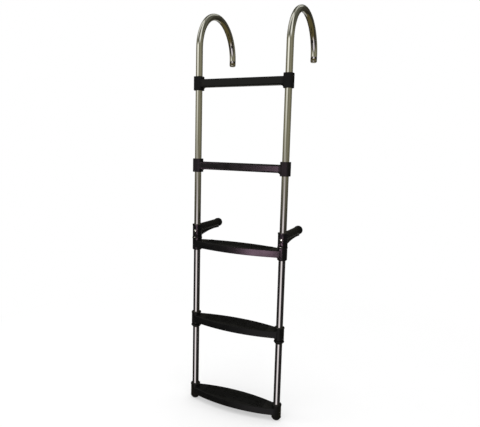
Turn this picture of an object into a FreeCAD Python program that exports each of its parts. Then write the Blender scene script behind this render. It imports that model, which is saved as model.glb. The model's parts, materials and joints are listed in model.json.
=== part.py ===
import FreeCAD, Part

import math
import os
import re

import Sketcher
from FreeCAD import Vector

# Boat boarding ladder: two stainless rails bent over into gunwale hooks, two narrow rungs and three
# wide treads. The rails are split above tread 3, where the lower section folds forwards and up.
#
# Frame: X along the rungs, +Y from the ladder towards the hull, +Z up. The origin is the middle of
# the hook saddle: the underside of the hooks' highest point, halfway between the two hooks.

# Driving dimensions, in millimetres.
SIZES = {
    # rails and hooks
    "tube_diameter": 25.4,
    "tube_wall": 1.5,
    "rail_spacing": 355.6,
    "rung_pitch": 304.8,
    "hook_reach": 280.0,
    "hook_rise": 128.0,
    "hook_tail": 19.0,
    "sleeve_play": 0.05,
    # rungs and treads
    "sleeve_height": 51.0,
    "sleeve_diameter": 36.0,
    "sleeve_chamfer": 3.0,
    "rim_diameter": 38.0,
    "rim_height": 5.0,
    "rim_round": 1.2,
    "rung_sleeve_width": 35.0,
    "rung_sleeve_corner": 11.0,
    "rung_sleeve_round": 1.5,
    "bar_height": 27.0,
    "rung_bar_height": 29.0,
    "bar_depth": 32.0,
    "bar_corner": 5.0,
    "wall": 4.0,
    "rib": 3.0,
    "bar_inset": 12.0,
    "bar_hollow": 300.0,
    "tread_middle": 90.0,
    "tread_end": 38.0,
    "tread_top": 5.0,
    "tread_corner": 6.0,
    "tread_round": 3.0,
    "skirt_round": 1.2,
    "hollow_inset": 22.0,
    "hollow_end": 41.0,
    "rib_recess": 1.5,
    "grip_length": 260.0,
    "grip_width": 2.0,
    "grip_height": 1.0,
    "grip_span": 53.0,
    "gusset_inset": 12.0,
    "gusset_length": 14.0,
    "gusset_drop": 10.0,
    "gusset_width": 10.0,
    # stand-off brackets
    "bracket_height": 50.0,
    "arm_diameter": 31.0,
    "arm_level": 34.0,
    "arm_length": 166.0,
    "spigot_diameter": 24.0,
    "spigot_length": 12.0,
    "web_width": 18.0,
    "web_start": 12.0,
    "web_reach": 164.0,
    "web_foot": 3.0,
    "web_step": 4.0,
    "web_arc": 500.0,
    "tip_diameter": 35.0,
    "tip_length": 22.0,
    "tip_round": 13.0,
    "tip_bevel": 1.0,
    # fold hinge
    "split_gap": 0.4,
    "hinge_offset": 20.0,
    "knuckle_radius": 5.0,
    "knuckle_clearance": 5.4,
    "knuckle_drop": 12.0,
    "knuckle_root": 13.7,
    "lug_width": 8.2,
    "lug_slot": 9.0,
    "ear_width": 3.0,
    "ear_clearance": 16.8,
    "bush_radius": 3.4,
    "pin_radius": 2.0,
    "pin_play": 0.05,
    "pin_head": 2.6,
    "pin_head_height": 0.5,
    "bush_window": 4.6,
    # fasteners, plugs and feet
    "screw_radius": 2.1,
    "screw_head": 4.0,
    "screw_head_height": 2.4,
    "screw_length": 11.0,
    "screw_seat": 17.0,
    "seat_depth": 5.0,
    "head_rim": 0.6,
    "dome_radius": 5.0,
    "dome_height": 3.0,
    "dome_shank": 2.5,
    "dome_length": 21.0,
    "seat_play": 0.5,
    "plug_recess": 2.0,
    "plug_flange": 1.5,
    "plug_length": 36.0,
    "plug_play": 0.05,
    "cap_dome": 6.0,
    "cap_length": 14.0,
    "collar_radius": 19.5,
    "collar_waist": 17.0,
    "collar_mouth": 13.7,
    "collar_height": 12.0,
    "collar_shoulder": 2.5,
    "foot_radius": 18.5,
    "foot_sole": 11.5,
    "foot_height": 10.0,
    "foot_bevel": 1.0,
    # how far one feature runs into the next
    "overlap": 1.0,
}

# Counts and ratios, which are not lengths.
CROSS_RIBS = 9
BAR_CELLS = 6
GRIP_STRIPS = 9
CROWN_WIDTH = 0.6
CROWN_HEIGHT = 0.86

SIDES = {"left": -1, "right": 1}

# Places that several sub-parts share, as formulas of the sheet.
RAIL_Y = "-hook_reach / 2"
ARC_Z = "(tube_diameter - hook_reach) / 2"


def step_z(number):
    """Height of the middle of a rung or tread, counted from the top."""
    return f"{ARC_Z} - hook_rise - {number - 1} * rung_pitch"


SPLIT_Z = f"{step_z(3)} + (sleeve_height + split_gap) / 2"

doc = FreeCAD.newDocument("boarding_ladder")
sheet = doc.addObject("Spreadsheet::Sheet", "sizes")
sub_parts = []


def fill_sheet():
    for row, (alias, value) in enumerate(SIZES.items(), start=1):
        sheet.set(f"A{row}", alias)
        sheet.set(f"B{row}", str(value))
        sheet.setAlias(f"B{row}", alias)
    doc.recompute()


def formula(text):
    """Point each dimension's name at its cell in the sheet."""
    return re.sub(r"[a-z_]+", lambda name: "sizes." + name[0] if name[0] in SIZES else name[0], text)


def amount(text):
    """The formula's present value, which sketches start from."""
    return float(sheet.evalExpression(formula(text)))


def bind(thing, path, text):
    thing.setExpression(path, formula(text))


# ---- Sketches ----

def new_body(label, across="0", along="0", height="0"):
    body = doc.addObject("PartDesign::Body", label)
    body.Label = label
    body.AllowCompound = True
    for axis, text in zip("xyz", (across, along, height)):
        bind(body, f"Placement.Base.{axis}", text)
    sub_parts.append(body)
    doc.recompute()
    return body


def origin_feature(body, role):
    return next(item for item in body.Origin.OriginFeatures if item.Role == role)


def new_sketch(body, plane, shift="0"):
    """A sketch on one of the body's own planes, shifted along that plane's normal."""
    sketch = body.newObject("Sketcher::SketchObject", "sketch")
    sketch.AttachmentSupport = [(origin_feature(body, f"{plane}_Plane"), "")]
    sketch.MapMode = "FlatFace"
    bind(sketch, "AttachmentOffset.Base.z", shift)
    return sketch


def constrain(sketch, text, kind, *where):
    """Add a constraint whose size is a formula of the sheet."""
    index = sketch.addConstraint(Sketcher.Constraint(kind, *where, amount(text)))
    bind(sketch, f"Constraints[{index}]", text)


def pin(sketch, edge, end, place):
    constrain(sketch, place[0], "DistanceX", edge, end)
    constrain(sketch, place[1], "DistanceY", edge, end)


def circle(sketch, radius, across="0", up="0"):
    centre = Vector(amount(across), amount(up), 0)
    edge = sketch.addGeometry(Part.Circle(centre, Vector(0, 0, 1), amount(radius)))
    pin(sketch, edge, 3, (across, up))
    constrain(sketch, radius, "Radius", edge)


def arc_between(start, end, radius):
    """The shorter arc of this radius, with its centre on the left of the way from start to end."""
    middle, way = (start + end) / 2, end - start
    rise = math.sqrt(max(radius ** 2 - (way.Length / 2) ** 2, 0))
    centre = middle + Vector(-way.y, way.x, 0).normalize() * rise
    turn = Part.Circle(centre, Vector(0, 0, 1), radius)
    first = math.atan2(start.y - centre.y, start.x - centre.x)
    last = math.atan2(end.y - centre.y, end.x - centre.x)
    return Part.ArcOfCircle(turn, first, last if last > first else last + 2 * math.pi)


def outline(sketch, corners):
    """A closed outline, drawn anticlockwise. A corner is (across, up) where a straight edge leaves it
    and (across, up, radius) where an outward arc does, or (across, up, radius, "in") for an inward one."""
    points = [Vector(amount(corner[0]), amount(corner[1]), 0) for corner in corners]
    ends = []
    for index, corner in enumerate(corners):
        start, end = points[index], points[(index + 1) % len(corners)]
        if len(corner) == 2:
            edge = sketch.addGeometry(Part.LineSegment(start, end))
            ends.append((edge, 1, 2))
        elif len(corner) == 3:
            edge = sketch.addGeometry(arc_between(start, end, amount(corner[2])))
            ends.append((edge, 1, 2))
        else:
            edge = sketch.addGeometry(arc_between(end, start, amount(corner[2])))
            ends.append((edge, 2, 1))
    for index, corner in enumerate(corners):
        edge, first, last = ends[index]
        after = ends[(index + 1) % len(corners)]
        sketch.addConstraint(Sketcher.Constraint("Coincident", edge, last, after[0], after[1]))
        pin(sketch, edge, first, corner[:2])
        if len(corner) > 2:
            constrain(sketch, corner[2], "Radius", edge)


def rectangle(sketch, left, right, bottom, top):
    outline(sketch, [(left, bottom), (right, bottom), (right, top), (left, top)])


def rounded_rectangle(sketch, middle, width, depth, corner):
    """A rectangle with round corners, centred on the sketch's X axis at middle."""
    right, up = f"({width}) / 2", f"({depth}) / 2"
    outline(sketch, [
        (f"{middle} - {right} + {corner}", f"-{up}"),
        (f"{middle} + {right} - {corner}", f"-{up}", corner),
        (f"{middle} + {right}", f"-{up} + {corner}"),
        (f"{middle} + {right}", f"{up} - {corner}", corner),
        (f"{middle} + {right} - {corner}", up),
        (f"{middle} - {right} + {corner}", up, corner),
        (f"{middle} - {right}", f"{up} - {corner}"),
        (f"{middle} - {right}", f"-{up} + {corner}", corner),
    ])


def lens(sketch, reach, end, middle):
    """A tread's plan: two bowed long edges and two straight ends, from its half sizes."""
    sagitta = f"(({middle}) - ({end}))"
    radius = f"(({reach}) ^ 2 + {sagitta} ^ 2) / (2 * {sagitta})"
    outline(sketch, [
        (f"-({reach})", f"-({end})", radius), (reach, f"-({end})"),
        (reach, end, radius), (f"-({reach})", end),
    ])


# ---- Features ----

def solid_feature(body, kind, sketch, length, both_ways, reverse):
    feature = body.newObject(f"PartDesign::{kind}", kind.lower())
    feature.Profile = sketch
    feature.SideType = "Symmetric" if both_ways else "One side"
    feature.Reversed = reverse
    bind(feature, "Length", length)
    doc.recompute()
    return feature


def pad(body, sketch, length, both_ways=False, reverse=False):
    return solid_feature(body, "Pad", sketch, length, both_ways, reverse)


def cut(body, sketch, length):
    """A pocket that runs both ways from its sketch, and really takes something away."""
    before = body.Shape.Volume
    feature = solid_feature(body, "Pocket", sketch, length, True, False)
    assert body.Shape.Volume < before - 0.01, f"{body.Label}: a pocket cuts nothing"
    return feature


def turn(body, sketch, axis, angle=360):
    feature = body.newObject("PartDesign::Revolution", "revolution")
    feature.Profile = sketch
    feature.ReferenceAxis = axis
    feature.Angle = angle
    doc.recompute()
    return feature


def pattern(body, feature, axis, length, count):
    row = body.newObject("PartDesign::LinearPattern", "pattern")
    row.Originals = [feature]
    row.Direction = (origin_feature(body, f"{axis}_Axis"), [""])
    bind(row, "Length", length)
    row.Occurrences = count
    body.Tip = row
    doc.recompute()
    return row


def round_edges(body, feature, radius, is_wanted):
    """Fillet the edges of the last feature that the test picks."""
    names = [f"Edge{n}" for n, edge in enumerate(feature.Shape.Edges, start=1) if is_wanted(edge)]
    fillet = body.newObject("PartDesign::Fillet", "fillet")
    fillet.Base = (feature, names)
    bind(fillet, "Radius", radius)
    doc.recompute()
    return fillet


def lies_at(edge, height):
    """Whether all of the edge is at this height."""
    box = edge.BoundBox
    return abs(box.ZMin - height) < 0.01 and abs(box.ZMax - height) < 0.01


def drill_across(body, radius, across, up, near, far):
    """A round hole along Y, from near to far, where both are formulas."""
    sketch = new_sketch(body, "XZ", f"-(({near}) + ({far})) / 2")
    circle(sketch, radius, across, up)
    cut(body, sketch, f"({far}) - ({near})")


# ---- Rails ----

def tube_sketch(body, along="0"):
    sketch = new_sketch(body, "XY")
    circle(sketch, "tube_diameter / 2", "0", along)
    circle(sketch, "tube_diameter / 2 - tube_wall", "0", along)
    return sketch


def upper_rail(side, sign):
    """One tube: straight from the split up to the bend, over the hook, and a short tail down."""
    body = new_body(f"upper_rail_{side}", f"{sign} * rail_spacing / 2", RAIL_Y, ARC_Z)
    pad(body, tube_sketch(body), f"{ARC_Z} - ({SPLIT_Z}) - plug_recess", reverse=True)
    bend = tube_sketch(body)
    middle, half = amount("hook_reach / 2"), amount("tube_diameter")
    axis = bend.addGeometry(Part.LineSegment(Vector(-half, middle, 0), Vector(half, middle, 0)), True)
    bend.addConstraint(Sketcher.Constraint("Horizontal", axis))
    constrain(bend, "hook_reach / 2", "DistanceY", axis, 1)
    hook = turn(body, bend, (bend, ["Axis0"]), 180)
    if body.Shape.BoundBox.ZMax < amount("hook_reach / 4"):
        hook.Reversed = True
        doc.recompute()
    pad(body, tube_sketch(body, "hook_reach"), "hook_tail", reverse=True)
    for number in (1, 2):
        drill_across(body, "screw_radius", "0", f"-hook_rise - {number - 1} * rung_pitch",
                     "0", "tube_diameter")
    drill_across(body, "dome_shank", "0", f"{SPLIT_Z} - ({ARC_Z}) + bracket_height / 2",
                 "-tube_diameter", "0")


def lower_rail(side, sign):
    """A straight tube from the split down to the end of the lowest sleeve."""
    top = f"{SPLIT_Z} - plug_recess"
    body = new_body(f"lower_rail_{side}", f"{sign} * rail_spacing / 2", RAIL_Y, top)
    pad(body, tube_sketch(body), f"{top} - ({step_z(5)}) + sleeve_height / 2", reverse=True)
    for number in (3, 4, 5):
        drill_across(body, "screw_radius", "0", f"{step_z(number)} - ({top})", "0", "tube_diameter")


# ---- Rungs and treads ----

def bore_sleeves(body):
    """Bore both sleeves for the rails and sink the screw seats into their backs."""
    bores = new_sketch(body, "XY")
    for sign in SIDES.values():
        circle(bores, "tube_diameter / 2 + sleeve_play", f"{sign} * rail_spacing / 2")
    cut(body, bores, "2 * sleeve_height")
    for sign in SIDES.values():
        drill_across(body, "screw_radius", f"{sign} * rail_spacing / 2", "0", "0", "screw_seat")
        drill_across(body, "screw_head + seat_play", f"{sign} * rail_spacing / 2", "0",
                     "screw_seat", "screw_seat + seat_depth")


def gussets(body, depth):
    """Small triangles under the bar, where it runs into the sleeves."""
    sketch = new_sketch(body, "XZ")
    inner = "(rail_spacing / 2 - gusset_inset)"
    top = f"-({depth}) / 2 + tread_top"
    low = f"-({depth}) / 2 - gusset_drop"
    outline(sketch, [(f"{inner} - gusset_length", f"-({depth}) / 2"), (inner, low), (inner, top),
                     (f"{inner} - gusset_length", top)])
    outline(sketch, [(f"-{inner}", low), (f"-{inner} + gusset_length", f"-({depth}) / 2"),
                     (f"-{inner} + gusset_length", top), (f"-{inner}", top)])
    pad(body, sketch, "gusset_width", both_ways=True)


def rung(number):
    """A narrow bar between two blocky sleeves, hollowed into ribbed cells from behind."""
    body = new_body(f"rung_{number}", "0", RAIL_Y, step_z(number))
    sleeves = new_sketch(body, "XY")
    for sign in SIDES.values():
        rounded_rectangle(sleeves, f"{sign} * rail_spacing / 2", "rung_sleeve_width",
                          "rung_sleeve_width", "rung_sleeve_corner")
    blocks = pad(body, sleeves, "sleeve_height", both_ways=True)
    half = amount("sleeve_height / 2")
    round_edges(body, blocks, "rung_sleeve_round", lambda edge: lies_at(edge, half) or lies_at(edge, -half))
    bar = new_sketch(body, "YZ")
    rounded_rectangle(bar, "0", "bar_depth", "rung_bar_height", "bar_corner")
    pad(body, bar, "rail_spacing - 2 * bar_inset", both_ways=True)
    gussets(body, "rung_bar_height")
    cells = new_sketch(body, "XZ", "-wall / 2")
    width = f"((bar_hollow - {BAR_CELLS - 1} * rib) / {BAR_CELLS})"
    rectangle(cells, "-bar_hollow / 2", f"-bar_hollow / 2 + {width}",
              "-rung_bar_height / 2 + wall", "rung_bar_height / 2 - wall")
    cell = cut(body, cells, "bar_depth - wall")
    pattern(body, cell, "X", f"bar_hollow - {width}", BAR_CELLS)
    bore_sleeves(body)


def tread(number):
    """A wide lens-shaped tread: a shell with ribs underneath, grip strips on top and two sleeves."""
    body = new_body(f"tread_{number}", "0", RAIL_Y, step_z(number))
    half = amount("bar_height / 2")
    tread_ribs(body)
    skirt = new_sketch(body, "XY")
    lens(skirt, "rail_spacing / 2", "tread_end / 2", "tread_middle / 2")
    lens(skirt, "rail_spacing / 2 - hollow_inset", "hollow_end / 2", "tread_middle / 2 - wall")
    pad(body, skirt, "bar_height", both_ways=True)
    top = new_sketch(body, "XY", "bar_height / 2 - tread_top")
    lens(top, "rail_spacing / 2", "tread_end / 2", "tread_middle / 2")
    plate = pad(body, top, "tread_top")
    end = amount("rail_spacing / 2")
    corners = round_edges(body, plate, "tread_corner", lambda edge: stands_at(edge, end))
    rim = round_edges(body, corners, "tread_round", lambda edge: lies_at(edge, half))
    round_edges(body, rim, "skirt_round", lambda edge: lies_at(edge, -half) and reaches_out(edge))
    strips = new_sketch(body, "XY", "bar_height / 2 - overlap")
    rectangle(strips, "-grip_length / 2", "grip_length / 2",
              "-grip_span / 2 - grip_width / 2", "-grip_span / 2 + grip_width / 2")
    strip = pad(body, strips, "grip_height + overlap")
    pattern(body, strip, "Y", "grip_span", GRIP_STRIPS)
    tread_sleeves(body, chamfered=number < 5)
    gussets(body, "bar_height")
    if number == 3:
        hinge_lugs(body)
    bore_sleeves(body)


def stands_at(edge, end):
    """Whether this is an upright edge at one end of the tread."""
    box = edge.BoundBox
    return box.ZLength > 1 and box.XLength < 0.01 and abs(abs(box.XMin) - end) < 0.01


def reaches_out(edge):
    """Whether the edge is on the tread's outer rim and not in its hollow."""
    middle = edge.valueAt((edge.FirstParameter + edge.LastParameter) / 2)
    return abs(middle.y) > amount("tread_middle / 2 - wall / 2") or abs(middle.x) > amount(
        "rail_spacing / 2 - hollow_inset / 2")


def tread_ribs(body):
    """The ribs, padded first and then trimmed to the hollow's plan."""
    first = new_sketch(body, "XY", "-bar_height / 2 + rib_recess")
    rectangle(first, "-bar_hollow / 2", "-bar_hollow / 2 + rib",
              "-tread_middle / 2 + rib", "tread_middle / 2 - rib")
    rise = "bar_height - rib_recess - tread_top + overlap"
    across = pad(body, first, rise)
    pattern(body, across, "X", "bar_hollow - rib", CROSS_RIBS)
    spine = new_sketch(body, "XY", "-bar_height / 2 + rib_recess")
    rectangle(spine, "-bar_hollow / 2 - 2 * rib", "bar_hollow / 2 + 2 * rib", "-rib / 2", "rib / 2")
    pad(body, spine, rise)
    trim = new_sketch(body, "XY")
    rectangle(trim, "-rail_spacing", "rail_spacing", "-2 * tread_middle", "2 * tread_middle")
    lens(trim, "rail_spacing / 2 - hollow_inset + overlap", "hollow_end / 2 + overlap",
         "tread_middle / 2 - wall + overlap")
    cut(body, trim, "2 * sleeve_height")


def tread_sleeves(body, chamfered):
    """The sleeves of a tread. The lowest ones stand on the feet and have no chamfer underneath."""
    sketch = new_sketch(body, "XY")
    for sign in SIDES.values():
        circle(sketch, "sleeve_diameter / 2", f"{sign} * rail_spacing / 2")
    sleeves = pad(body, sketch, "sleeve_height", both_ways=True)
    if chamfered:
        half = amount("sleeve_height / 2")
        lower = [f"Edge{n}" for n, edge in enumerate(sleeves.Shape.Edges, start=1) if lies_at(edge, -half)]
        chamfer = body.newObject("PartDesign::Chamfer", "chamfer")
        chamfer.Base = (sleeves, lower)
        bind(chamfer, "Size", "sleeve_chamfer")
        doc.recompute()
    rims(body, [f"{sign} * rail_spacing / 2" for sign in SIDES.values()], "sleeve_height / 2")


def rims(body, places, top):
    """A slightly wider, rounded rim round the top of each sleeve."""
    sketch = new_sketch(body, "XY", f"{top} - rim_height")
    for across in places:
        circle(sketch, "rim_diameter / 2", across)
    bands = pad(body, sketch, "rim_height")
    level, radius = amount(top), amount("rim_diameter / 2")
    round_edges(body, bands, "rim_round", lambda edge: lies_at(edge, level) and is_round(edge, radius))


def is_round(edge, radius):
    return hasattr(edge.Curve, "Radius") and abs(edge.Curve.Radius - radius) < 0.01


# ---- Fold hinge ----

def hinge_lugs(body):
    """On tread 3: room for the bracket's ears, and a lug with a window around each bush."""
    level = "(sleeve_height + split_gap) / 2"
    for sign in SIDES.values():
        middle = f"{sign} * rail_spacing / 2"
        room = new_sketch(body, "YZ", middle)
        circle(room, "knuckle_clearance", "-hinge_offset", level)
        cut(body, room, "ear_clearance")
        lug = new_sketch(body, "YZ", middle)
        circle(lug, "knuckle_radius", "-hinge_offset", level)
        pad(body, lug, "lug_width", both_ways=True)
        web = new_sketch(body, "YZ", middle)
        rectangle(web, "-hinge_offset", "-knuckle_root", f"{level} - knuckle_drop", "sleeve_height / 2")
        pad(body, web, "lug_width", both_ways=True)
        hole = new_sketch(body, "YZ", middle)
        circle(hole, "bush_radius", "-hinge_offset", level)
        cut(body, hole, "lug_width")
        window = new_sketch(body, "YZ", middle)
        rectangle(window, "-hinge_offset - 2 * knuckle_radius", "-hinge_offset - bush_radius / 2",
                  f"{level} - bush_window / 2", f"{level} + bush_window / 2")
        cut(body, window, "lug_width")


def hinge_ears(body):
    """On a bracket: room for the lug, and an ear on each side of it."""
    room = new_sketch(body, "YZ")
    circle(room, "knuckle_clearance", "-hinge_offset", "0")
    cut(body, room, "lug_slot")
    for sign in SIDES.values():
        middle = f"{sign} * (lug_slot + ear_width) / 2"
        ear = new_sketch(body, "YZ", middle)
        circle(ear, "knuckle_radius", "-hinge_offset", "0")
        pad(body, ear, "ear_width", both_ways=True)
        web = new_sketch(body, "YZ", middle)
        rectangle(web, "-hinge_offset", "-knuckle_root", "split_gap / 2", "knuckle_drop")
        pad(body, web, "ear_width", both_ways=True)
    hole = new_sketch(body, "YZ")
    circle(hole, "pin_radius", "-hinge_offset", "0")
    cut(body, hole, "4 * lug_slot")


def hinge_pin(side, sign):
    """A pin through both ears and the bush, with a head at each end."""
    body = new_body(f"hinge_pin_{side}", f"{sign} * rail_spacing / 2",
                    f"{RAIL_Y} - hinge_offset", SPLIT_Z)
    shank = new_sketch(body, "YZ")
    circle(shank, "pin_radius")
    pad(body, shank, "lug_slot + 2 * ear_width", both_ways=True)
    for end in SIDES.values():
        head = new_sketch(body, "YZ", f"{end} * (lug_slot / 2 + ear_width + pin_head_height / 2)")
        circle(head, "pin_head")
        pad(body, head, "pin_head_height", both_ways=True)


def hinge_bush(side, sign):
    body = new_body(f"hinge_bush_{side}", f"{sign} * rail_spacing / 2",
                    f"{RAIL_Y} - hinge_offset", SPLIT_Z)
    ring = new_sketch(body, "YZ")
    circle(ring, "bush_radius")
    circle(ring, "pin_radius + pin_play")
    pad(body, ring, "lug_width", both_ways=True)


# ---- Stand-off brackets ----

def standoff_bracket(side, sign):
    """A sleeve on the rail, an arm towards the hull and a web with a hollow lower edge under it."""
    body = new_body(f"standoff_bracket_{side}", f"{sign} * rail_spacing / 2", RAIL_Y, SPLIT_Z)
    sleeve = new_sketch(body, "XY", "split_gap / 2")
    circle(sleeve, "sleeve_diameter / 2")
    pad(body, sleeve, "bracket_height")
    rims(body, ["0"], "split_gap / 2 + bracket_height")
    arm = new_sketch(body, "XZ")
    circle(arm, "arm_diameter / 2", "0", "arm_level")
    pad(body, arm, "arm_length", reverse=True)
    web = new_sketch(body, "YZ")
    underside = "arm_level - arm_diameter / 2"
    outline(web, [("web_start", "web_foot", "web_arc", "in"), ("web_reach", f"{underside} - web_step"),
                  ("web_reach", "arm_level"), ("web_start", "arm_level")])
    pad(body, web, "web_width", both_ways=True)
    spigot = new_sketch(body, "XZ", "-arm_length")
    circle(spigot, "spigot_diameter / 2", "0", "arm_level")
    pad(body, spigot, "spigot_length", reverse=True)
    hinge_ears(body)
    bore = new_sketch(body, "XY")
    circle(bore, "tube_diameter / 2 + sleeve_play")
    cut(body, bore, "4 * bracket_height")
    middle = "bracket_height / 2"
    drill_across(body, "dome_shank", "0", middle, "-sleeve_diameter", "0")
    drill_across(body, "dome_radius + seat_play", "0", middle, "-sleeve_diameter", "-screw_seat")


def standoff_tip(side, sign):
    """A rubber bumper pushed over the arm's end, with a rounded nose."""
    body = new_body(f"standoff_tip_{side}", f"{sign} * rail_spacing / 2",
                    f"{RAIL_Y} + arm_length", f"{SPLIT_Z} + arm_level")
    skin = new_sketch(body, "XY")
    radius = "tip_diameter / 2"
    outline(skin, [("0", "spigot_length"), ("spigot_diameter / 2", "spigot_length"),
                   ("spigot_diameter / 2", "0"), (f"{radius} - tip_bevel", "0"), (radius, "tip_bevel"),
                   (radius, "tip_length - tip_round", "tip_round"),
                   (f"{radius} - tip_round", "tip_length"), ("0", "tip_length")])
    turn(body, skin, (skin, ["V_Axis"]))


# ---- Plugs, caps, feet and collars ----

def turned_piece(label, place, corners):
    """A body turned about its own Z axis from half an outline of (radius, height) corners."""
    body = new_body(label, *place)
    half = new_sketch(body, "XZ")
    outline(half, corners)
    turn(body, half, (half, ["V_Axis"]))
    return body


def rail_plug(name, side, sign, way):
    """A plug inside a rail's end at the split: a flange on the end and a stem up or down the tube."""
    place = (f"{sign} * rail_spacing / 2", RAIL_Y, f"{SPLIT_Z} + {way} * plug_recess")
    stem = "tube_diameter / 2 - tube_wall - plug_play"
    corners = [("0", f"-{way} * plug_flange"), ("tube_diameter / 2", f"-{way} * plug_flange"),
               ("tube_diameter / 2", "0"), (stem, "0"), (stem, f"{way} * plug_length"),
               ("0", f"{way} * plug_length")]
    body = turned_piece(f"{name}_{side}", place, corners if way > 0 else corners[::-1])
    if way > 0:
        drill_across(body, "dome_shank", "0", "bracket_height / 2 - plug_recess",
                     "-tube_diameter", "tube_diameter")
    else:
        drill_across(body, "screw_radius", "0", f"{step_z(3)} - ({SPLIT_Z}) + plug_recess",
                     "0", "tube_diameter")


def hook_cap(side, sign):
    """The cap that closes a hook's sawn end: a rounded button and a stem in the tube."""
    radius, stem = "tube_diameter / 2", "tube_diameter / 2 - tube_wall - plug_play"
    turned_piece(f"hook_cap_{side}",
                 (f"{sign} * rail_spacing / 2", "hook_reach / 2", f"{ARC_Z} - hook_tail"),
                 [("0", "-cap_dome"), (f"{radius} - cap_dome", "-cap_dome", "cap_dome"),
                  (radius, "0"), (stem, "0"), (stem, "cap_length"), ("0", "cap_length")])


def foot_cap(side, sign):
    """A rubber foot that closes the rail's lower end and tapers to a flat sole."""
    stem = "tube_diameter / 2 - tube_wall - plug_play"
    turned_piece(f"foot_cap_{side}",
                 (f"{sign} * rail_spacing / 2", RAIL_Y, f"{step_z(5)} - sleeve_height / 2"),
                 [("0", "-foot_height"), ("foot_sole", "-foot_height"),
                  ("foot_sole + foot_bevel", "foot_bevel - foot_height"),
                  ("foot_radius", "-foot_bevel"), ("foot_radius", "0"), (stem, "0"),
                  (stem, "cap_length"), ("0", "cap_length")])


def stop_collar(side, sign):
    """A snap-on collar under the sleeve of tread 4, with a waist above its bead."""
    bore = "tube_diameter / 2 + sleeve_play"
    turned_piece(f"stop_collar_{side}",
                 (f"{sign} * rail_spacing / 2", RAIL_Y, f"{step_z(4)} - sleeve_height / 2"),
                 [(bore, "-collar_height"), ("collar_mouth", "-collar_height"),
                  ("collar_radius", "-2 * collar_shoulder"), ("collar_radius", "-collar_shoulder"),
                  ("collar_waist", "0"), (bore, "0")])


# ---- Screws ----

def screw(body, head, head_height, shank, length, way):
    """A round-headed screw along Y: its head's seat is at the origin and its head faces way."""
    profile = new_sketch(body, "XY")
    corners = [("0", f"-{way} * ({length})"), (shank, f"-{way} * ({length})"), (shank, "0"),
               (head, "0"), (head, f"{way} * head_rim"),
               (f"{head} * {CROWN_WIDTH}", f"{way} * {head_height} * {CROWN_HEIGHT}"),
               ("0", f"{way} * {head_height}")]
    outline(profile, corners if way > 0 else corners[::-1])
    return turn(body, profile, (profile, ["V_Axis"]))


def screw_group(name, first, last):
    """The screws behind the sleeves of several steps, as one group of separate solids."""
    body = new_body(name, "-rail_spacing / 2", f"{RAIL_Y} + screw_seat", step_z(last))
    one = screw(body, "screw_head", "screw_head_height", "screw_radius", "screw_length", 1)
    rows = body.newObject("PartDesign::MultiTransform", "rows")
    rows.Originals = [one]
    steps = []
    for axis, length, count in (("X", "rail_spacing", 2),
                                ("Z", f"{last - first} * rung_pitch", last - first + 1)):
        row = body.newObject("PartDesign::LinearPattern", "row")
        row.Direction = (origin_feature(body, f"{axis}_Axis"), [""])
        bind(row, "Length", length)
        row.Occurrences = count
        steps.append(row)
    rows.Transformations = steps
    body.Tip = rows
    doc.recompute()


def standoff_screw(side, sign):
    body = new_body(f"standoff_screw_{side}", f"{sign} * rail_spacing / 2",
                    f"{RAIL_Y} - screw_seat", f"{SPLIT_Z} + bracket_height / 2")
    screw(body, "dome_radius", "dome_height", "dome_shank", "dome_length", -1)


# ---- Assembly ----

def check_and_export():
    doc.recompute()
    for item in doc.Objects:
        bad = {"Invalid", "Error"} & set(item.State)
        assert not bad, f"{item.Name} ({item.Label}) is {bad}"
    os.makedirs("parts", exist_ok=True)
    for part in sub_parts:
        assert not part.Shape.isNull() and part.Shape.isValid(), f"{part.Label} has no valid shape"
        assert part.Shape.Solids, f"{part.Label} has no solid"
    for part in sub_parts:
        part.Shape.exportStep(f"parts/{part.Label}.step")
        box = part.Shape.BoundBox
        print(f"{part.Label:24s} solids {len(part.Shape.Solids)} volume {part.Shape.Volume:10.1f}"
              f"  z {box.ZMin:8.1f} to {box.ZMax:8.1f}  y {box.YMin:7.1f} to {box.YMax:7.1f}")


fill_sheet()
for side, sign in SIDES.items():
    upper_rail(side, sign)
    hook_cap(side, sign)
    standoff_bracket(side, sign)
    standoff_tip(side, sign)
    standoff_screw(side, sign)
    rail_plug("upper_rail_plug", side, sign, 1)
    hinge_pin(side, sign)
    lower_rail(side, sign)
    rail_plug("lower_rail_plug", side, sign, -1)
    hinge_bush(side, sign)
    stop_collar(side, sign)
    foot_cap(side, sign)
for number in (1, 2):
    rung(number)
for number in (3, 4, 5):
    tread(number)
screw_group("rung_screws", 1, 2)
screw_group("tread_screws", 3, 5)
check_and_export()
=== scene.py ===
import json
import math
from collections import namedtuple

import bmesh
import bpy
from mathutils import Matrix, Vector


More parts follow.
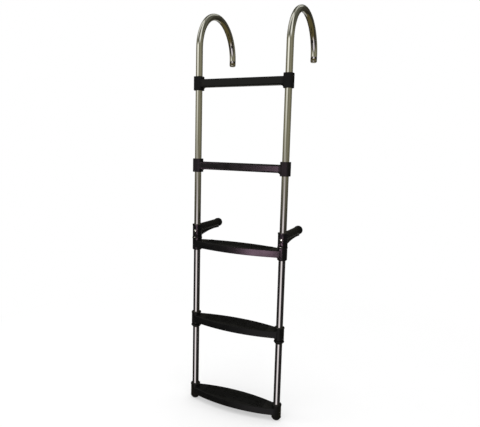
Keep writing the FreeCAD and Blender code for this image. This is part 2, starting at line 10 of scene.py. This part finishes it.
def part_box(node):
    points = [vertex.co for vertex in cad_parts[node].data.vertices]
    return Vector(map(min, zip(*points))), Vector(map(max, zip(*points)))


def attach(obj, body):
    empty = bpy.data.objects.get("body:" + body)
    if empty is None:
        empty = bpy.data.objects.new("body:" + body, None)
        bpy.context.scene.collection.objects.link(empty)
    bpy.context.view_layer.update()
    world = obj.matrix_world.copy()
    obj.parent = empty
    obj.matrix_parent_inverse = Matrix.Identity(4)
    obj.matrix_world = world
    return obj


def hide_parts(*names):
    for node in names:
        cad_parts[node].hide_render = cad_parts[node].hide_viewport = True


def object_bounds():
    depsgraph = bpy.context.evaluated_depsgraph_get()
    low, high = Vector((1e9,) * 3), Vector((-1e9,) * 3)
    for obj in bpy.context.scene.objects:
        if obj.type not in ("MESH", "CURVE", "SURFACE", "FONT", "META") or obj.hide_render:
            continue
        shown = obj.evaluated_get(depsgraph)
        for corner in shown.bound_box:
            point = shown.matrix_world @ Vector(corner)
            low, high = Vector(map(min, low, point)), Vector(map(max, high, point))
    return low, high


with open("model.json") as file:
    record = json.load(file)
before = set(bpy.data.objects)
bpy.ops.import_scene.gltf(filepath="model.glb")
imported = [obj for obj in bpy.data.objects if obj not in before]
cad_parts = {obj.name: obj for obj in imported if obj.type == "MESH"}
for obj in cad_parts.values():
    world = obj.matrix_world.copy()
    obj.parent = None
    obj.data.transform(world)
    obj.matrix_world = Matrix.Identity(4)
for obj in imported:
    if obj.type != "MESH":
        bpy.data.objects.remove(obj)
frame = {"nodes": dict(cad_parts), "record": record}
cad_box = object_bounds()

# Boat boarding ladder: the looks. Metres, in the CAD frame: X along the rungs, +Y towards the hull,
# +Z up, origin under the top of the hooks.

scene = bpy.context.scene
scene.view_settings.view_transform = "Standard"


# ---- Camera ----

IMAGE_WIDTH = 480
FOCAL_PIXELS = 477.2
SENSOR_WIDTH = 36.0
CAMERA_PLACE = (0.7511, -1.7404, -0.4788)
YAW = math.radians(25.0)
PITCH = math.radians(8.19)
ROLL = math.radians(1.42)


def add_camera():
    """A camera at the height of the ladder's upper half, to its right and turned 25 degrees."""
    ahead = Vector((-math.sin(YAW) * math.cos(PITCH), math.cos(YAW) * math.cos(PITCH), -math.sin(PITCH)))
    level = Vector((math.cos(YAW), math.sin(YAW), 0))
    lifted = level.cross(ahead)
    right = level * math.cos(ROLL) + lifted * math.sin(ROLL)
    up = lifted * math.cos(ROLL) - level * math.sin(ROLL)
    data = bpy.data.cameras.new("camera")
    data.sensor_width = SENSOR_WIDTH
    data.lens = FOCAL_PIXELS / IMAGE_WIDTH * SENSOR_WIDTH
    data.dof.use_dof = False
    camera = bpy.data.objects.new("camera", data)
    turn = Matrix((right, up, -ahead)).transposed().to_4x4()
    camera.matrix_world = Matrix.Translation(CAMERA_PLACE) @ turn
    scene.collection.objects.link(camera)
    scene.camera = camera


# ---- Node helpers ----

def new_material(name):
    """A node material, with its nodes, its links and its shader."""
    material = bpy.data.materials.new(name)
    material.use_nodes = True
    nodes = material.node_tree.nodes
    return material, nodes, material.node_tree.links, nodes["Principled BSDF"]


def object_place(nodes):
    """Where a point is in its own object."""
    return nodes.new("ShaderNodeTexCoord").outputs["Object"]


def part_of(nodes, links, vector, axis):
    """One axis of a vector."""
    split = nodes.new("ShaderNodeSeparateXYZ")
    links.new(vector, split.inputs[0])
    return split.outputs[axis]


def noise(nodes, links, place, scale, detail=2.0, roughness=0.5):
    """A noise texture read at a vector socket."""
    texture = nodes.new("ShaderNodeTexNoise")
    texture.inputs["Scale"].default_value = scale
    texture.inputs["Detail"].default_value = detail
    texture.inputs["Roughness"].default_value = roughness
    links.new(place, texture.inputs["Vector"])
    return texture.outputs["Fac"]


def streaky_noise(nodes, links, place, scales, detail, roughness=0.5):
    """A noise texture with its own scale on each axis."""
    mapping = nodes.new("ShaderNodeMapping")
    mapping.inputs["Scale"].default_value = scales
    links.new(place, mapping.inputs["Vector"])
    return noise(nodes, links, mapping.outputs["Vector"], 1.0, detail, roughness)


def spread(nodes, links, value, low, high, to_low, to_high):
    """Map a value's range onto another, clamped."""
    node = nodes.new("ShaderNodeMapRange")
    for name, number in (("From Min", low), ("From Max", high), ("To Min", to_low), ("To Max", to_high)):
        node.inputs[name].default_value = number
    links.new(value, node.inputs["Value"])
    return node.outputs["Result"]


def mixed(nodes, links, factor, first, second):
    """A colour between two, each of them a colour or a socket."""
    node = nodes.new("ShaderNodeMix")
    node.data_type = "RGBA"
    links.new(factor, node.inputs["Factor"])
    for name, colour in (("A", first), ("B", second)):
        socket = next(item for item in node.inputs if item.name == name and item.type == "RGBA")
        if isinstance(colour, bpy.types.NodeSocket):
            links.new(colour, socket)
        else:
            socket.default_value = (*colour, 1)
    return next(item for item in node.outputs if item.type == "RGBA")


def calc(nodes, links, operation, *values):
    """A Math node over sockets and numbers."""
    node = nodes.new("ShaderNodeMath")
    node.operation = operation
    for index, value in enumerate(values):
        if isinstance(value, bpy.types.NodeSocket):
            links.new(value, node.inputs[index])
        else:
            node.inputs[index].default_value = value
    return node.outputs[0]


def bumped(nodes, links, shader, height, strength, distance, before=None):
    """Give a shader a bump, on top of an earlier bump if there is one."""
    bump = nodes.new("ShaderNodeBump")
    bump.inputs["Strength"].default_value = strength
    bump.inputs["Distance"].default_value = distance
    links.new(height, bump.inputs["Height"])
    if before is not None:
        links.new(before, bump.inputs["Normal"])
    links.new(bump.outputs["Normal"], shader.inputs["Normal"])
    return bump.outputs["Normal"]


# ---- Steel ----

# Noise scales across a tube (twice) and along it
POLISHING_LINES = (520, 520, 1.5)
TUBE_SMEARS = (40, 40, 9)
WATER_MARKS = (150, 150, 110)
TUBE_DARK = (0.67, 0.66, 0.63)
TUBE_LIGHT = (0.75, 0.74, 0.71)
TUBE_SMEARED = (0.56, 0.54, 0.48)
TUBE_MARKED = (0.5, 0.48, 0.44)
FITTING_GRAIN = 900
FITTING_SMEARS = 160
FITTING_LIGHT = (0.86, 0.85, 0.83)
FITTING_DARK = (0.7, 0.68, 0.64)


def tube_steel():
    """Polished stainless tube: fine polishing lines along it, faint smears and water marks."""
    material, nodes, links, shader = new_material("polished_stainless_tube")
    attribute = nodes.new("ShaderNodeAttribute")
    attribute.attribute_name = "tube_place"
    place = attribute.outputs["Vector"]
    lines = streaky_noise(nodes, links, place, POLISHING_LINES, 2.0)
    smears = streaky_noise(nodes, links, place, TUBE_SMEARS, 4.0, 0.6)
    spots = streaky_noise(nodes, links, place, WATER_MARKS, 3.0, 0.6)
    tone = mixed(nodes, links, spread(nodes, links, lines, 0.35, 0.65, 0, 1), TUBE_DARK, TUBE_LIGHT)
    tone = mixed(nodes, links, spread(nodes, links, smears, 0.5, 0.8, 0, 0.4), tone, TUBE_SMEARED)
    tone = mixed(nodes, links, spread(nodes, links, spots, 0.62, 0.74, 0, 0.35), tone, TUBE_MARKED)
    links.new(tone, shader.inputs["Base Color"])
    shader.inputs["Metallic"].default_value = 1.0
    smeared = spread(nodes, links, smears, 0.3, 0.75, 0.05, 0.1)
    spotted = spread(nodes, links, spots, 0.5, 0.75, 0.0, 0.05)
    links.new(calc(nodes, links, "ADD", smeared, spotted), shader.inputs["Roughness"])
    bumped(nodes, links, shader, lines, 0.04, 0.0001)
    return material


def fitting_steel():
    """Bright stainless for screws, pins, bushes and hook caps."""
    material, nodes, links, shader = new_material("bright_stainless")
    place = object_place(nodes)
    grain = noise(nodes, links, place, FITTING_GRAIN, 3.0)
    smears = noise(nodes, links, place, FITTING_SMEARS, 3.0)
    smeared = spread(nodes, links, smears, 0.35, 0.7, 0, 1)
    links.new(mixed(nodes, links, smeared, FITTING_LIGHT, FITTING_DARK), shader.inputs["Base Color"])
    shader.inputs["Metallic"].default_value = 1.0
    links.new(spread(nodes, links, grain, 0.3, 0.7, 0.16, 0.3), shader.inputs["Roughness"])
    bumped(nodes, links, shader, grain, 0.1, 0.0002)
    return material


# ---- Plastic and rubber ----

FINE_GRAIN = 1400
COARSE_GRAIN = 700
FINE_DEPTH = 0.00005
COARSE_DEPTH = 0.00012
CLOUDS = 26
SCUFFS = (18, 260, 260)
CLOUD_LIGHTENS = 1.6
PLASTIC_SPECULAR = 0.16
MOULDING_BLACK = (0.0035, 0.0035, 0.0035)
MOULDING_WORN = (0.02, 0.019, 0.02)
PLASTIC_BLACK = (0.0045, 0.0045, 0.0045)
PLASTIC_WORN = (0.02, 0.02, 0.02)
RUBBER_BLACK = (0.006, 0.006, 0.006)
RUBBER_WORN = (0.025, 0.025, 0.025)
MOULDING_ROUGHNESS = 0.26
PLASTIC_ROUGHNESS = 0.36
RUBBER_ROUGHNESS = 0.6

# A rung's sleeves are duller than its bar: distances from the middle, and the roughness they add
BAR_ENDS = 0.155
SLEEVE_STARTS = 0.163
SLEEVE_ROUGHER = 0.35


def moulded_plastic(name, base, worn, shine, grain_size=FINE_GRAIN, grain_depth=FINE_DEPTH, dull_ends=False):
    """Moulded plastic: fine grain, cloudy gloss, pale wear on exposed edges and faint scratches."""
    material, nodes, links, shader = new_material(name)
    place = object_place(nodes)
    grain = noise(nodes, links, place, grain_size)
    clouds = noise(nodes, links, place, CLOUDS, 4.0, 0.6)
    scuffs = streaky_noise(nodes, links, place, SCUFFS, 5.0, 0.7)
    edge = nodes.new("ShaderNodeNewGeometry").outputs["Pointiness"]
    wear = calc(nodes, links, "MULTIPLY", spread(nodes, links, edge, 0.56, 0.66, 0, 0.6),
                spread(nodes, links, clouds, 0.4, 0.7, 0, 1))
    pale = [CLOUD_LIGHTENS * part for part in base]
    tone = mixed(nodes, links, spread(nodes, links, clouds, 0.3, 0.7, 0, 1), base, pale)
    tone = mixed(nodes, links, wear, tone, worn)
    tone = mixed(nodes, links, spread(nodes, links, scuffs, 0.62, 0.8, 0, 0.25), tone, worn)
    links.new(tone, shader.inputs["Base Color"])
    rough = spread(nodes, links, clouds, 0.3, 0.7, shine - 0.04, shine + 0.08)
    if dull_ends:
        reach = calc(nodes, links, "ABSOLUTE", part_of(nodes, links, place, "X"))
        extra = spread(nodes, links, reach, BAR_ENDS, SLEEVE_STARTS, 0, SLEEVE_ROUGHER)
        rough = calc(nodes, links, "ADD", rough, extra)
    links.new(rough, shader.inputs["Roughness"])
    shader.inputs["Specular IOR Level"].default_value = PLASTIC_SPECULAR
    fine = bumped(nodes, links, shader, grain, 0.3, grain_depth)
    bumped(nodes, links, shader, scuffs, 0.1, 0.0001, fine)
    return material


# ---- Materials on the CAD nodes ----

SLOTS = {item["node"]: item["material_slot"] for item in frame["record"]["subparts"]}
RUNGS = ("rung_1", "rung_2")
MATERIALS = {
    "rung_moulding": moulded_plastic("rung_moulding", MOULDING_BLACK, MOULDING_WORN, MOULDING_ROUGHNESS,
                                     dull_ends=True),
    "stainless_tube": tube_steel(),
    "stainless_fittings": fitting_steel(),
    "black_moulding": moulded_plastic("black_moulding", MOULDING_BLACK, MOULDING_WORN, MOULDING_ROUGHNESS),
    "black_plastic": moulded_plastic("black_plastic", PLASTIC_BLACK, PLASTIC_WORN, PLASTIC_ROUGHNESS),
    "black_rubber": moulded_plastic("black_rubber", RUBBER_BLACK, RUBBER_WORN, RUBBER_ROUGHNESS,
                                    COARSE_GRAIN, COARSE_DEPTH),
}
WELD_DISTANCE = 0.00001
EDGE_WIDTH = 0.0005
SHARP_ANGLE = math.radians(40)


def material_for(name):
    """A rung has its own material, and any other node has its record slot's."""
    if name in RUNGS:
        return MATERIALS["rung_moulding"]
    return MATERIALS[SLOTS[name]]


def dress_nodes():
    """Give every CAD node its material, and soften its sharp edges."""
    for name, piece in frame["nodes"].items():
        piece.data.materials.clear()
        piece.data.materials.append(material_for(name))
        weld = piece.modifiers.new("weld", "WELD")
        weld.merge_threshold = WELD_DISTANCE
        bevel = piece.modifiers.new("bevel", "BEVEL")
        bevel.width = EDGE_WIDTH
        bevel.segments = 2
        bevel.limit_method = "ANGLE"
        bevel.angle_limit = SHARP_ANGLE
        bevel.harden_normals = True


# ---- Rails ----

RING_POINTS = 64
STRAIGHT_STEPS = 24
BEND_STEPS = 120
TUBE_RADIUS = 0.0127
TUBE_WALL = 0.0015
CAP_DOME = 0.006


def upper_path(side):
    """Points and unit directions along an upper rail's centre line, from the split up and over the hook
    to where its cap's dome begins."""
    low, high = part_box(f"upper_rail_{side}")
    across = (low[0] + high[0]) / 2
    front, back = low[1] + TUBE_RADIUS, high[1] - TUBE_RADIUS
    reach = (back - front) / 2
    foot, bend = low[2], high[2] - TUBE_RADIUS - reach
    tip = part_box(f"hook_cap_{side}")[0][2] + CAP_DOME
    path = []
    for step in range(STRAIGHT_STEPS):
        height = foot + (bend - foot) * step / STRAIGHT_STEPS
        path.append((Vector((across, front, height)), Vector((0, 0, 1))))
    for step in range(BEND_STEPS + 1):
        angle = math.pi * step / BEND_STEPS
        place = Vector((across, front + reach * (1 - math.cos(angle)), bend + reach * math.sin(angle)))
        path.append((place, Vector((0, math.sin(angle), math.cos(angle)))))
    path.append((Vector((across, back, tip)), Vector((0, 0, -1))))
    return path


def lower_path(side):
    """Points and unit directions along a straight lower rail, from its foot up to the split."""
    low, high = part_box(f"lower_rail_{side}")
    across, along = (low[0] + high[0]) / 2, (low[1] + high[1]) / 2
    heights = [low[2] + (high[2] - low[2]) * step / STRAIGHT_STEPS for step in range(STRAIGHT_STEPS + 1)]
    return [(Vector((across, along, height)), Vector((0, 0, 1))) for height in heights]


def ring_pairs():
    """Each point of a ring with the next one, all the way round."""
    return [(point, (point + 1) % RING_POINTS) for point in range(RING_POINTS)]


def tube_shell(work, place_layer, path, radius):
    """Rings of vertices around a path in a YZ plane. Each one remembers its place on the straightened
    tube, so that the finish follows the bends."""
    rings, travelled = [], 0.0
    for index, (centre, ahead) in enumerate(path):
        if index:
            travelled += (centre - path[index - 1][0]).length
        side = Vector((1, 0, 0))
        other = ahead.cross(side)
        ring = []
        for point in range(RING_POINTS):
            angle = 2 * math.pi * point / RING_POINTS
            vert = work.verts.new(centre + (side * math.cos(angle) + other * math.sin(angle)) * radius)
            vert[place_layer] = (radius * math.cos(angle), radius * math.sin(angle), travelled)
            ring.append(vert)
        rings.append(ring)
    return rings


def tube(name, path):
    """An open-ended tube with a real wall, swept along a path."""
    work = bmesh.new()
    place_layer = work.verts.layers.float_vector.new("tube_place")
    outer = tube_shell(work, place_layer, path, TUBE_RADIUS)
    inner = tube_shell(work, place_layer, path, TUBE_RADIUS - TUBE_WALL)
    for rings, flip in ((outer, False), (inner, True)):
        for first, second in zip(rings, rings[1:]):
            for point, after in ring_pairs():
                corners = [first[point], first[after], second[after], second[point]]
                work.faces.new(corners[::-1] if flip else corners).smooth = True
    for end, flip in ((0, True), (-1, False)):
        for point, after in ring_pairs():
            corners = [outer[end][point], outer[end][after], inner[end][after], inner[end][point]]
            work.faces.new(corners[::-1] if flip else corners)
    bmesh.ops.recalc_face_normals(work, faces=work.faces)
    mesh = bpy.data.meshes.new(name)
    work.to_mesh(mesh)
    work.free()
    mesh.materials.append(MATERIALS["stainless_tube"])
    piece = bpy.data.objects.new(name, mesh)
    scene.collection.objects.link(piece)
    return piece


def add_rails():
    """Finely swept tubes in place of the four CAD rails, each on its rail's body."""
    for side in ("left", "right"):
        for level, body, path in (("upper", "upper_section", upper_path(side)),
                                  ("lower", "lower_section", lower_path(side))):
            piece = tube(f"{level}_tube_{side}", path)
            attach(piece, body)
            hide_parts(f"{level}_rail_{side}")


# ---- Floor ----

WHITE = (1.0, 1.0, 1.0)
FLOOR_SIZE = 14
FLOOR_GAP = 0.0005
FLOOR_DARK = (0.8, 0.8, 0.8)
FLOOR_LIGHT = (0.84, 0.84, 0.84)
# Distances from the middle over which the floor turns into white glow, and the share of glow at the feet,
# which is painted light that lightens the ladder's shadow
FADE_STARTS = 0.35
FADE_ENDS = 1.6
GLOW_AT_FEET = 0.45


def floor_material():
    """Pale and matt under the ladder, fading into the white background further out. Painted light: the floor
    glows white, by a share already at the feet, which lightens the ladder's shadow there, and fully further
    out.
    """
    material, nodes, links, shader = new_material("pale_floor")
    place = object_place(nodes)
    tone = noise(nodes, links, place, 3.0, 4.0)
    links.new(mixed(nodes, links, tone, FLOOR_DARK, FLOOR_LIGHT), shader.inputs["Base Color"])
    shader.inputs["Roughness"].default_value = 0.9
    # Painted light: a white glow from the floor itself, which is no lamp
    glow = nodes.new("ShaderNodeEmission")
    glow.inputs["Color"].default_value = (*WHITE, 1)
    away = nodes.new("ShaderNodeVectorMath")
    away.operation = "LENGTH"
    links.new(place, away.inputs[0])
    blend = nodes.new("ShaderNodeMixShader")
    # The share of painted white glow: it lightens the shadow at the feet and is all of the floor further out
    fade = spread(nodes, links, away.outputs["Value"], FADE_STARTS, FADE_ENDS, GLOW_AT_FEET, 1)
    links.new(fade, blend.inputs["Fac"])
    links.new(shader.outputs[0], blend.inputs[1])
    links.new(glow.outputs[0], blend.inputs[2])
    links.new(blend.outputs[0], nodes["Material Output"].inputs["Surface"])
    return material


def add_floor():
    """A plain floor just under the feet, which reflections don't see."""
    mesh = bpy.data.meshes.new("floor")
    work = bmesh.new()
    bmesh.ops.create_grid(work, x_segments=2, y_segments=2, size=FLOOR_SIZE)
    work.to_mesh(mesh)
    work.free()
    mesh.materials.append(floor_material())
    floor = bpy.data.objects.new("floor", mesh)
    floor.location.z = cad_box[0][2] - FLOOR_GAP
    floor.visible_glossy = False
    scene.collection.objects.link(floor)


# ---- The room that reflections see ----

# A direction has an azimuth, in degrees from -Y and positive towards +X, and a height, which is the z
# of its unit vector.
LOW_ROOM = (0.022, 0.02, 0.021)
HIGH_ROOM = (0.215, 0.205, 0.14)
BEHIND = (0.03, 0.028, 0.02)
UPPER_ROOM = (0.11, 0.11, 0.085)
GROUND = (0.115, 0.095, 0.04)
CEILING_LIGHT = (0.15, 0.15, 0.13)

# Heights, and turns away from -Y in radians, over which the room changes into the next colour
LOW_TO_HIGH = (-0.2, 0.02)
TO_BEHIND = (2.2, 2.6)
TO_UPPER = (0.36, 0.52)
TO_GROUND = (-0.5, -0.6)
TO_CEILING = (0.86, 0.95)
BEHIND_COVERS = 0.9

# A light is full within core degrees of its centre and gone by fade degrees. Its heights go from none
# to full over rise, and back to none over fall. A negative colour takes light away.
RoomLight = namedtuple("RoomLight", "centre core fade rise fall colour")
WINDOW = RoomLight(-22, 16, 34, (-0.1, 0.2), (0.3, 0.45), (1.0, 1.0, 0.95))
LOW_PANEL = RoomLight(9, 16, 32, (0.0, -0.2), (-0.6, -0.78), (1.0, 0.94, 0.98))
LEFT_SKYLIGHT = RoomLight(-80, 24, 44, (0.4, 0.6), None, (0.62, 0.62, 0.58))
FRONT_SKYLIGHT = RoomLight(34, 14, 34, (0.35, 0.55), None, (0.95, 0.95, 0.9))
RIGHT_GLOW = RoomLight(58, 6, 14, (-0.2, 0.1), None, (0.12, 0.11, 0.085))
RIGHT_SHADE = RoomLight(100, 8, 20, (-0.3, -0.1), None, (-0.02, -0.02, -0.02))
REAR_WINDOW = RoomLight(-165, 8, 15, (-0.75, -0.6), (-0.05, 0.12), (0.36, 0.36, 0.34))
ROOM_LIGHTS = (WINDOW, LOW_PANEL, LEFT_SKYLIGHT, FRONT_SKYLIGHT, RIGHT_GLOW, RIGHT_SHADE, REAR_WINDOW)

# Two narrow ones, this far to each side of straight behind
REAR_STREAKS = RoomLight(12, 3, 9, (0.5, 0.62), None, (0.7, 0.7, 0.64))


def added(nodes, links, room, amount, colour):
    """The room with some of a colour added."""
    node = nodes.new("ShaderNodeVectorMath")
    node.operation = "MULTIPLY_ADD"
    node.inputs[1].default_value = colour
    links.new(amount, node.inputs[0])
    links.new(room, node.inputs[2])
    return node.outputs[0]


def lit(nodes, links, room, azimuth, height, light):
    """The room with a soft-edged light added."""
    off = calc(nodes, links, "ABSOLUTE", calc(nodes, links, "SUBTRACT", azimuth, math.radians(light.centre)))
    amount = spread(nodes, links, off, math.radians(light.core), math.radians(light.fade), 1, 0)
    amount = calc(nodes, links, "MULTIPLY", amount, spread(nodes, links, height, *light.rise, 0, 1))
    if light.fall:
        amount = calc(nodes, links, "MULTIPLY", amount, spread(nodes, links, height, *light.fall, 1, 0))
    return added(nodes, links, room, amount, light.colour)


def add_world():
    """White for the camera and for diffuse light. Reflections see a room that is golden at the bottom,
    dark up to eye level, olive above it, greyer overhead and dim behind the ladder, with soft lights."""
    world = bpy.data.worlds.new("studio")
    world.use_nodes = True
    nodes, links = world.node_tree.nodes, world.node_tree.links
    direction = nodes.new("ShaderNodeTexCoord").outputs["Generated"]
    height = part_of(nodes, links, direction, "Z")
    forward = calc(nodes, links, "MULTIPLY", part_of(nodes, links, direction, "Y"), -1.0)
    azimuth = calc(nodes, links, "ARCTAN2", part_of(nodes, links, direction, "X"), forward)
    turn = calc(nodes, links, "ABSOLUTE", azimuth)
    from_behind = calc(nodes, links, "SUBTRACT", math.pi, turn)
    room = mixed(nodes, links, spread(nodes, links, height, *LOW_TO_HIGH, 0, 1), LOW_ROOM, HIGH_ROOM)
    room = mixed(nodes, links, spread(nodes, links, turn, *TO_BEHIND, 0, BEHIND_COVERS), room, BEHIND)
    room = mixed(nodes, links, spread(nodes, links, height, *TO_UPPER, 0, 1), room, UPPER_ROOM)
    room = mixed(nodes, links, spread(nodes, links, height, *TO_GROUND, 0, 1), room, GROUND)
    for light in ROOM_LIGHTS:
        room = lit(nodes, links, room, azimuth, height, light)
    room = lit(nodes, links, room, from_behind, height, REAR_STREAKS)
    room = added(nodes, links, room, spread(nodes, links, height, *TO_CEILING, 0, 1), CEILING_LIGHT)
    path = nodes.new("ShaderNodeLightPath")
    seen = mixed(nodes, links, path.outputs["Is Glossy Ray"], WHITE, room)
    links.new(seen, nodes["Background"].inputs["Color"])
    scene.world = world


# ---- Lamps ----

SHEEN_COLOUR = (1.0, 0.62, 0.85)
NEAR_TREAD_3 = ("standoff_bracket_left", "standoff_bracket_right", "tread_3")
DOME_SCREWS = ("standoff_screw_left", "standoff_screw_right")


def area_light(name, place, aim, size, power, colour=WHITE):
    """A rectangular lamp that the camera and reflections don't see."""
    data = bpy.data.lights.new(name, "AREA")
    data.shape = "RECTANGLE"
    data.size, data.size_y = size
    data.energy = power
    data.color = colour
    lamp = bpy.data.objects.new(name, data)
    lamp.location = place
    lamp.rotation_euler = (Vector(aim) - Vector(place)).to_track_quat("-Z", "Y").to_euler()
    lamp.visible_camera = False
    lamp.visible_glossy = False
    scene.collection.objects.link(lamp)
    return lamp


def reflect_only_in(names, lamp):
    """Let a lamp light only some CAD nodes, and only as a reflection."""
    receivers = bpy.data.collections.new(f"{lamp.name}_receivers")
    for name in names:
        receivers.objects.link(frame["nodes"][name])
    lamp.light_linking.receiver_collection = receivers
    lamp.visible_glossy = True
    lamp.visible_diffuse = False


def add_lamps():
    """Soft studio light from overhead and from the left."""
    area_light("overhead", place=(0.3, -0.6, 2.2), aim=(0, 0, -0.7), size=(2.4, 2.4), power=40)
    area_light("left_window", place=(-2.6, -1.6, 0.2), aim=(0, 0, -0.6), size=(1.2, 2.4), power=20)


def add_sheen():
    """Low panels that put a soft sheen on the fronts of steps 2 and 3, and a glint on the dome screws.
    The sheen panels are so low that the tops of the steps hardly mirror them from behind."""
    rung_sheen = area_light("rung_sheen", place=(0.06, -1.15, -0.65), aim=(0.06, -0.15, -0.6),
                            size=(0.62, 0.26), power=8, colour=SHEEN_COLOUR)
    tread_sheen = area_light("tread_sheen", place=(0.06, -1.15, -1.06), aim=(0.06, -0.15, -0.86),
                             size=(0.62, 0.36), power=9.6, colour=SHEEN_COLOUR)
    glint = area_light("glint", place=(0.35, -1.3, -0.55), aim=(0.0, -0.15, -0.8), size=(0.5, 0.5), power=14)
    reflect_only_in(["rung_2"], rung_sheen)
    reflect_only_in(NEAR_TREAD_3, tread_sheen)
    reflect_only_in(DOME_SCREWS, glint)


add_camera()
dress_nodes()
add_rails()
add_floor()
add_world()
add_lamps()
add_sheen()
